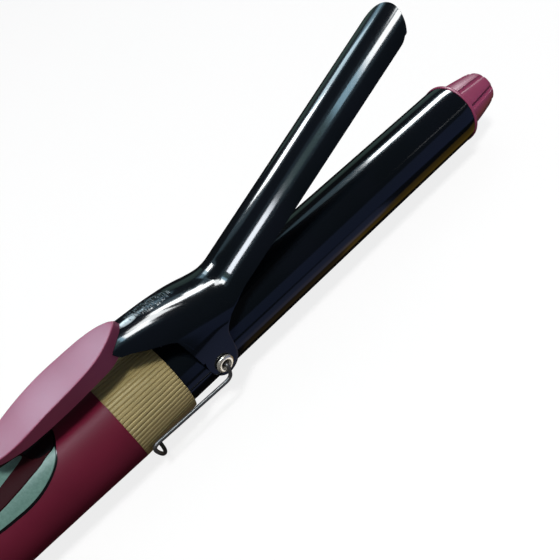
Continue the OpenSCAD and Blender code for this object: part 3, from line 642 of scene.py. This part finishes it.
def make_grip():
    half = smooth(PAD_HALF, 6)
    loop = [tuple(q) for q in half] + [(q[0], -q[1]) for q in reversed(half[1:-1])]
    # half an outline with an even number of points keeps it symmetric
    base = resample(loop, 360)
    rim = 0.4
    loops = []
    inset = inward(base, rim)
    for f in (0.0, 0.2, 0.4, 0.6, 0.78, 0.92, 1.0):
        q = inset.copy()
        q[:, 1] *= f
        loops.append([(x, y, pad_top(x) - 0.02 - 0.28 * (abs(y) / 8.0) ** 2) for x, y in q])
    for k in range(1, 6):
        a = math.radians(90 * k / 5)
        q = inward(base, rim * (1 - math.sin(a)))
        loops.append([(x, y, pad_top(x) - 0.02 - 0.28 * (abs(y) / 8.0) ** 2 - rim * (1 - math.cos(a))) for x, y in q])

    def low(x, y):
        return max(lin(x, SKIRT), lever_z(x, y) + 0.08)

    for f in (0.35, 0.7, 0.92):
        loops.append([(x, y, (1 - f) * (pad_top(x) - 0.12 - rim) + f * min(low(x, y), pad_top(x) - 1.0)) for x, y in base])
    for d, up in ((0.0, 0.18), (0.06, 0.05), (0.2, 0.0), (1.1, 0.0), (1.28, 0.1)):
        loops.append([(x, y, min(low(x, y), pad_top(x) - 1.0) + up) for x, y in inward(base, d)])
    q = inward(base, 1.35)
    for f in (1.0, 0.75, 0.5, 0.25, 0.0):
        loops.append([(x, y * f, max(min(lin(x, CEIL), pad_top(x) - 1.2), min(low(x, y), pad_top(x) - 1.0) + 0.15)) for x, y in q])
    m = len(base)
    pts = [p for l in loops for p in l]
    ob = mesh_object("grip", pts, grid_faces(len(loops), m, False, True), place_clamp, weld=6e-6, sharp=48)
    return finish_piece(ob, "clamp", "mauve_plastic", M["mauve_plastic"].m, "thumb_grip")


# ---------------------------------------------------------------- spring
def make_spring():
    t, r = 0.8, 3.2
    c = np.array([7.0, BR + 0.05 + t / 2 + r])
    mid = [np.array([-13.0, c[1] - r])] + [np.array([x, c[1] - r]) for x in np.linspace(-12, c[0] - 0.6, 16)]
    mid += [c + r * np.array([math.cos(a), math.sin(a)]) for a in np.radians(np.arange(-90, 105.6, 6.5))]
    end = c + r * np.array([math.cos(math.radians(105.5)), math.sin(math.radians(105.5))])
    u = np.array([-math.cos(math.radians(15.5)), math.sin(math.radians(15.5))])
    mid += [end + d * u for d in np.linspace(1.2, 30.6, 24)]
    last = end + 31.2 * u
    mid += [last + np.array([-0.35, -0.15]), last + np.array([-1.1, -0.75]), last + np.array([-2.0, -1.5])]
    mid = np.array(mid)
    tan = np.gradient(mid, axis=0)
    tan /= np.linalg.norm(tan, axis=1)[:, None]
    nrm = np.c_[-tan[:, 1], tan[:, 0]]
    sec = fillet([(-3, -t / 2), (3, -t / 2), (3, t / 2), (-3, t / 2)], 0.25, 3)
    pts = []
    for p, nn in zip(mid, nrm):
        for s in sec:
            q = p + nn * s[1]
            pts.append((q[0], s[0], q[1]))
    m = len(sec)
    faces = grid_faces(len(mid), m, False, True)
    faces += [tuple(range(m)), tuple(range((len(mid) - 1) * m, len(mid) * m))]
    ob = mesh_object("leaf_spring", pts, faces, sharp=50)
    ob.data.materials.append(M["spring_steel"].m)
    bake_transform(ob)
    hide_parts("clamp_spring")
    return ob


# ---------------------------------------------------------------- wire stand
def make_stand():
    ly = 17.9
    half = [(0, 11.5, 0), (0, 13, 0), (0, 15, 0), (0, 16.4, 0), (0, 17.05, -0.02), (0, 17.5, -0.2), (-0.1, 17.83, -0.75), (-0.3, ly, -1.6), (-0.6, ly, -3.2), (-1.05, ly, -4.5),
            (-2.0, ly, -5.3), (-3.6, ly, -5.6), (-8, ly, -5.4), (-14, ly, -5.1), (-20, ly, -4.8), (-26, ly, -4.5), (-32, ly, -4.15),
            (-35, ly, -4.05), (-36.4, ly, -4.5), (-37, ly - 0.1, -5.7), (-36.9, 17.6, -7.4), (-36.3, 16.9, -10.2), (-35.6, 15.5, -13),
            (-34.8, 13.4, -15.6), (-34.1, 10.7, -17.8), (-33.6, 7.4, -19.4), (-33.3, 3.7, -20.4), (-33.2, 0, -20.7)]
    route = half + [(p[0], -p[1], p[2]) for p in reversed(half[:-1])]
    path = smooth(route, 5)
    n = len(path)
    pts = []
    nn = np.array([1.0, 0, 0])
    sides = 20
    for i in range(n):
        t = path[min(i + 1, n - 1)] - path[max(i - 1, 0)]
        t /= np.linalg.norm(t)
        nn = nn - (nn @ t) * t
        nn /= np.linalg.norm(nn)
        b = np.cross(t, nn)
        for k in range(sides):
            a = 2 * math.pi * k / sides
            pts.append(tuple(path[i] + (WR - 0.01) * (math.cos(a) * nn + math.sin(a) * b)))
    faces = grid_faces(n, sides, False, True)
    faces += [tuple(range(sides)), tuple(range((n - 1) * sides, n * sides))]
    ob = mesh_object("stand_wire", pts, faces, sharp=50)
    return finish_piece(ob, "stand", "steel_wire", M["steel_wire"].m, "wire_stand")


# ---------------------------------------------------------------- eyelets
def make_eyelets():
    o = EAR_OUT
    wr = WR + 0.05
    line = [(BI - 2.4, wr), (BI - 2.4, 3), (BI - 1.8, 3), (BI - 1.8, 2.18), (o + 0.05, 2.18), (o + 0.06, 3.1), (o + 0.3, 3.5), (o + 0.7, 3.6), (o + 1.1, 3.45),
            (o + 1.4, 3.1), (o + 1.55, 2.65), (o + 1.52, 2.2), (o + 1.35, 1.85), (o + 1.05, 1.62), (o + 0.6, 1.5), (o, 1.48), (o - 0.7, 1.46), (o - 1.1, wr)]
    # smooth the rolled part
    roll = [tuple(q) for q in smooth(line[5:], 4)]
    outline = line[:5] + roll
    for k, s in enumerate((1, -1)):
        ob = lathe("eyelet_%d" % k, [(s * q[0], q[1]) for q in outline], 72, "y", sharp=45)
        finish_piece(ob, "iron", "nickel_steel", M["nickel_steel"].m)
        if k == 0:
            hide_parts("pivot_eyelets")
        else:
            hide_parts("pivot_eyelets")


# ---------------------------------------------------------------- collar
def make_collar():
    ribs, per, turn = 65, 14, math.radians(0.72)
    line = [(-39.66, BR + 0.4), (-39.7, BR + 2.3), (-39.66, BR + 2.8), (-39.56, BR + 2.88)]
    xs = list(np.linspace(-39.0, -16.1, 26))
    line += [(x, BR + 1.9 + (-15.95 - x) / 23.55) for x in xs]
    line += [(-15.9, BR + 1.88), (-15.8, BR + 1.8), (-15.76, BR + 1.68), (-15.75, BR + 1.5), (-15.75, BR + 1.2), (-15.75, BR + 0.06), (-17.6, BR + 0.06),
             (-18.5, BR + 1.15), (-37.6, BR + 1.15), (-38, BR + 0.35), (-39.66, BR + 0.35)]
    pts = []
    n = ribs * per
    for k in range(n):
        ph = (k % per) / per
        d = min(ph, 1 - ph) / 0.5  # 0 in the groove, 1 on the rib
        g = 0.34 * (1 - sstep(0.04, 0.46, d)) + 0.07 * (1 - math.sin(math.pi / 2 * d))
        a = 2 * math.pi * k / n + turn
        for x, r in line:
            f = 1.0 if r > BR + 1.3 else 0.0
            rr = r - g * f
            pts.append((x, rr * math.cos(a), rr * math.sin(a)))
    ob = mesh_object("fluted_collar", pts, grid_faces(n, len(line), True, True), sharp=60)
    return finish_piece(ob, "iron", "gold_plastic", M["gold_plastic"].m, "heat_collar")


# ---------------------------------------------------------------- rear end and keys
def make_rear():
    line = [(-156.5, 9.3), (-156.5, BR - 1.2), (-157.6, BR - 0.2), (-170.0, BR - 0.15), (-170.02, BR + 1.95), (-170.12, BR + 2.1)]
    curve = [(-170.35, BR + 2.17), (-173, BR + 2.0), (-176.2, BR + 1.2), (-178.6, BR - 0.6), (-179.8, BR - 3.4), (-180.15, BR - 5.6)]
    line += [tuple(q) for q in smooth(curve, 6)]
    line += [(-180.2, 6.9), (-180.1, 6.62), (-179.9, 6.56), (-167.6, 6.56), (-167.6, 9.3)]
    ob = lathe("rear_cap", line, 200, sharp=40)
    finish_piece(ob, "iron", "burgundy_plastic", M["burgundy_plastic"].m, "end_cap")
    base = curve_fn([(-196, 6.0), (-195, 6.25), (-192, 6.2), (-188, 6.9), (-184, 8.5), (-181.2, 8.8)])
    line = [(-163.2, 2.0), (-163.2, 6.5), (-165, 6.5), (-165.2, 8.6), (-167.4, 8.6), (-167.6, 6.5), (-180.6, 6.5), (-180.62, 8.45),
            (-180.75, 8.62), (-181.0, 8.75)]
    x = -181.4
    while x > -195.2:
        # grooves that let the rubber bend
        ph = ((-x - 184.9) / 2.1) % 1.0
        g = 0.42 * sstep(0.30, 0.42, ph) * (1 - sstep(0.78, 0.90, ph)) if x < -184.9 else 0.0
        line.append((x, base(x) - g))
        x -= 0.12
    line += [(-195.5, 6.15), (-195.85, 5.95), (-196, 5.6), (-196, 3.9), (-195.9, 3.55), (-195.6, 3.32), (-166, 3.3), (-166, 2.0)]
    ob = lathe("cord_gland", line, 120, sharp=40)
    finish_piece(ob, "cord_swivel", "dark_plastic", M["dark_plastic"].m, "swivel_gland")


def prism(name, loops, z0, z1):
    pts, faces = [], []
    for loop in loops:
        n, o = len(loop), len(pts)
        pts += [(x, y, z0) for x, y in loop] + [(x, y, z1) for x, y in loop]
        faces += [tuple(range(o + n - 1, o - 1, -1)), tuple(range(o + n, o + 2 * n))]
        faces += [(o + k, o + (k + 1) % n, o + n + (k + 1) % n, o + n + k) for k in range(n)]
    return mesh_object(name, pts, faces, place, sharp=30)


def make_keys():
    a, b = 1.1, 0.2
    cross = [(-a, -b), (-b, -b), (-b, -a), (b, -a), (b, -b), (a, -b), (a, b), (b, b), (b, a), (-b, a), (-b, b), (-a, b)]
    turns = [math.radians(24 + 312 * k / 36) for k in range(37)]
    ring = [(1.75 * math.cos(t), 1.75 * math.sin(t)) for t in turns] + [(1.37 * math.cos(t), 1.37 * math.sin(t)) for t in reversed(turns)]
    signs = {"plus_key": [cross], "minus_key": [[(-0.2, -1.1), (0.2, -1.1), (0.2, 1.1), (-0.2, 1.1)]],
             "power_key": [ring, [(0.6, -0.19), (2.1, -0.19), (2.1, 0.19), (0.6, 0.19)]]}
    for node, x, r in (("plus_key", -87, 2.7), ("minus_key", -96, 2.7), ("power_key", -107, 3.4)):
        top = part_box(node)[1][2] * 1000
        cap = [(top - 4.8, 0), (top - 4.8, r + 0.7), (top - 3.9, r + 0.7), (top - 3.9, r), (top - 0.55, r), (top - 0.33, r - 0.03),
               (top - 0.16, r - 0.12), (top - 0.05, r - 0.28), (top, r - 0.5), (top - 0.03, r - 0.8), (top - 0.09, r - 1.4), (top - 0.12, 0)]
        ob = lathe(node + "_cap", cap, 72, "z", True, place, 50, (x, 0))
        finish_piece(ob, node, "key_silver", M["key_silver"].m, node)
        ob = prism(node + "_sign", [[(x + q[0], q[1]) for q in loop] for loop in signs[node]], top - 0.3, top - 0.02)
        finish_piece(ob, node, "dark_plastic", M["dark_plastic"].m)


make_rear()
make_keys()
make_barrel()
make_tip()
make_clamp()
make_grip()
make_spring()
make_stand()
make_eyelets()
make_collar()


# ---------------------------------------------------------------- stage
def stage_floor():
    z = -0.0216
    me = bpy.data.meshes.new("floor")
    s = 6.0
    me.from_pydata([(-s, -s, z), (s, -s, z), (s, s, z), (-s, s, z)], [], [(0, 1, 2, 3)])
    ob = bpy.data.objects.new("floor", me)
    scene.collection.objects.link(ob)
    m = Mat("floor").set(Roughness=0.9)
    m.b.inputs["Specular IOR Level"].default_value = 0.0
    m.b.inputs["Base Color"].default_value = (0.2, 0.2, 0.2, 1)
    m.b.inputs["Emission Color"].default_value = (1, 1, 1, 1)
    m.b.inputs["Emission Strength"].default_value = 0.82
    me.materials.append(m.m)
    ob.visible_glossy = False
    ob.visible_diffuse = False
    ob.visible_shadow = False


def area(name, at, to, size, radiance, colour=(1, 1, 1), glossy=False, diffuse=False, along=(1, 0, 0)):
    l = bpy.data.lights.new(name, "AREA")
    l.shape = "RECTANGLE"
    l.size, l.size_y = size
    # radiance of a one-sided area light is power / (pi * area)
    l.energy = radiance * math.pi * size[0] * size[1]
    l.color = colour
    ob = bpy.data.objects.new(name, l)
    scene.collection.objects.link(ob)
    z = (Vector(at) - Vector(to)).normalized()
    x = Vector(along) - Vector(along).dot(z) * z
    x.normalize()
    y = z.cross(x)
    ob.matrix_world = Matrix.Translation(at) @ Matrix((x, y, z)).transposed().to_4x4()
    ob.visible_glossy = glossy
    ob.visible_diffuse = diffuse
    ob.visible_camera = False
    return ob


def seen_by(lamp, objects, state="INCLUDE"):
    """The lamp lights these objects only, or with EXCLUDE all but these."""
    col = bpy.data.collections.new("lit_by_" + lamp.name)
    for k, ob in enumerate(objects):
        col.objects.link(ob)
        col.collection_objects[k].light_linking.link_state = state
    lamp.light_linking.receiver_collection = col
    return lamp


def lights():
    w = bpy.data.worlds.new("studio")
    scene.world = w
    w.use_nodes = True
    t = w.node_tree
    bg = t.nodes["Background"]
    # pale room above, dark and warm below; only a trace of it is mirrored
    co = t.nodes.new("ShaderNodeTexCoord")
    sp = t.nodes.new("ShaderNodeSeparateXYZ")
    t.links.new(co.outputs["Generated"], sp.inputs["Vector"])
    mr = t.nodes.new("ShaderNodeMapRange")
    for k, v in zip(("From Min", "From Max"), (-0.5, 0.6)):
        mr.inputs[k].default_value = v
    t.links.new(sp.outputs["Z"], mr.inputs["Value"])
    rp = t.nodes.new("ShaderNodeValToRGB")
    e = rp.color_ramp.elements
    e[0].position, e[0].color = 0.0, (0.07, 0.058, 0.05, 1)
    e[1].position, e[1].color = 1.0, (0.26, 0.28, 0.30, 1)
    t.links.new(mr.outputs["Result"], rp.inputs["Fac"])
    t.links.new(rp.outputs["Color"], bg.inputs["Color"])
    lp = t.nodes.new("ShaderNodeLightPath")
    st = t.nodes.new("ShaderNodeMapRange")
    st.inputs["To Min"].default_value = 1.0
    st.inputs["To Max"].default_value = 0.10
    t.links.new(lp.outputs["Is Glossy Ray"], st.inputs["Value"])
    seen = t.nodes.new("ShaderNodeMath")
    seen.operation = "MULTIPLY_ADD"
    seen.inputs[1].default_value = 4.0
    t.links.new(lp.outputs["Is Camera Ray"], seen.inputs[0])
    t.links.new(st.outputs["Result"], seen.inputs[2])
    t.links.new(seen.outputs["Value"], bg.inputs["Strength"])
    # soft key above the front side, and a weak fill from the tip's side
    grip = [bpy.data.objects["grip"]]
    seen_by(area("key", (0.01, -0.375, 1.21), (0.16, 0, 0.02), (0.24, 0.20), 76.0, (1, 0.99, 0.97), diffuse=True), grip, "EXCLUDE")
    seen_by(area("key_grip", (0.01, 0.16, 1.21), (0.16, 0, 0.02), (0.24, 0.20), 72.0, (1, 0.99, 0.97), diffuse=True), grip)
    area("fill", (0.9, 0.5, 0.9), (0.2, 0, 0.02), (0.6, 0.5), 1.4, (0.95, 0.98, 1.0), diffuse=True)
    # faint warm light thrown back up from the table's edge
    area("bounce", (0.02, -0.72, -0.42), (0.1, 0, 0), (0.6, 0.4), 0.5, (1.0, 0.60, 0.36), diffuse=True)
    # strips and cards that the enamel and the plastics mirror
    c = (0.30, 0, 0.02)
    white, cool = (0.96, 0.99, 1.0), (0.45, 0.76, 0.95)
    shiny = [bpy.data.objects[n] for n in ("barrel", "clamp_sheet", "leaf_spring", "stand_wire", "eyelet_0", "eyelet_1")]
    area("strip_barrel", (1.19, 0.53, 0.84), c, (0.44, 0.26), 30, white, glossy=True)
    area("halo_barrel", (1.10, 0.56, 0.90), c, (0.80, 0.50), 0.9, cool, glossy=True)
    seen_by(area("strip_lever", (0.86, 0.42, 1.05), (0.2, 0, 0.03), (0.40, 0.18), 30, white, glossy=True, along=(1, 0.6, 0)), shiny[1:2])
    seen_by(area("strip_lever_mid", (0.62, 0.12, 1.05), (0.2, 0, 0.03), (0.30, 0.26), 20, white, glossy=True, along=(1, 0.8, 0)), shiny[1:2])
    area("strip_over_tip", (0.455, -0.09, 1.05), (0.455, -0.09, 0), (0.21, 0.24), 26, white, glossy=True)
    area("strip_over_mid", (0.30, -0.09, 1.05), (0.30, -0.09, 0), (0.10, 0.30), 9, cool, glossy=True)
    area("strip_over_dim", (0.16, -0.09, 1.05), (0.16, -0.09, 0), (0.18, 0.30), 0.7, (0.6, 1.0, 0.9), glossy=True)
    area("strip_over_root", (-0.13, -0.09, 1.05), (0.1, -0.05, 0), (0.34, 0.26), 24, (0.88, 0.93, 1.0), glossy=True)
    area("halo_over", (0.13, -0.09, 1.12), (0.13, -0.09, 0), (1.0, 0.66), 0.4, cool, glossy=True)
    seen_by(area("strip_back", (0.32, 0.92, 0.66), c, (0.22, 0.24), 26, white, glossy=True), shiny)
    seen_by(area("strip_back_mid", (0.51, 0.92, 0.66), c, (0.20, 0.26), 8, (0.7, 0.9, 1.0), glossy=True), shiny)
    seen_by(area("strip_back_tip", (0.69, 0.92, 0.66), c, (0.20, 0.22), 2.4, cool, glossy=True), shiny[1:2])
    seen_by(area("halo_back", (0.44, 0.96, 0.70), c, (0.80, 0.50), 0.6, cool, glossy=True), shiny[1:2])
    seen_by(area("card_pad", (-0.12, 0.80, 0.88), (0.12, 0, 0.05), (0.5, 0.5), 12, (0.56, 0.90, 1.0), glossy=True), [bpy.data.objects["grip"]])
    area("card_navy", (0.79, -0.62, -0.06), c, (1.2, 0.5), 0.26, (0.3, 0.42, 1.0), glossy=True)
    area("card_low", (0.57, -0.72, -0.73), (0.2, 0, 0), (0.6, 0.6), 0.34, (0.4, 0.5, 1.0), glossy=True)
    area("card_olive", (0.97, -0.24, -0.61), c, (0.74, 0.5), 0.24, (0.95, 0.58, 0.06), glossy=True)
    area("card_brown", (0.49, -0.24, -0.61), c, (0.24, 0.5), 0.09, (0.95, 0.62, 0.2), glossy=True)
    seen_by(area("card_eyelets", (0.42, -0.66, -0.74), (0.196, -0.017, 0), (0.7, 0.5), 1.1, (1.0, 0.94, 0.80), glossy=True), shiny[4:6])
    area("line_front", (1.15, -0.63, 0.42), c, (0.5, 0.014), 2.6, white, glossy=True)
    seen_by(area("card_green", (1.0, 0.9, 0.15), c, (1.2, 0.4), 0.25, (0.5, 0.85, 0.75), glossy=True), shiny)


def camera():
    cd = bpy.data.cameras.new("camera")
    cd.lens = 41.45
    cd.sensor_width = 36.0
    cd.sensor_fit = "HORIZONTAL"
    cd.clip_start = 0.01
    cd.clip_end = 50
    ob = bpy.data.objects.new("camera", cd)
    scene.collection.objects.link(ob)
    r = Vector((0.6918, -0.6614, -0.2898)).normalized()
    f = Vector((0.3422, 0.6536, -0.6751)).normalized()
    up = r.cross(f).normalized()
    r = f.cross(up).normalized()
    ob.matrix_world = Matrix.Translation((0.14998, -0.16771, 0.16891)) @ Matrix((r, up, -f)).transposed().to_4x4()
    scene.camera = ob


stage_floor()
lights()
camera()
scene.view_settings.view_transform = "Standard"
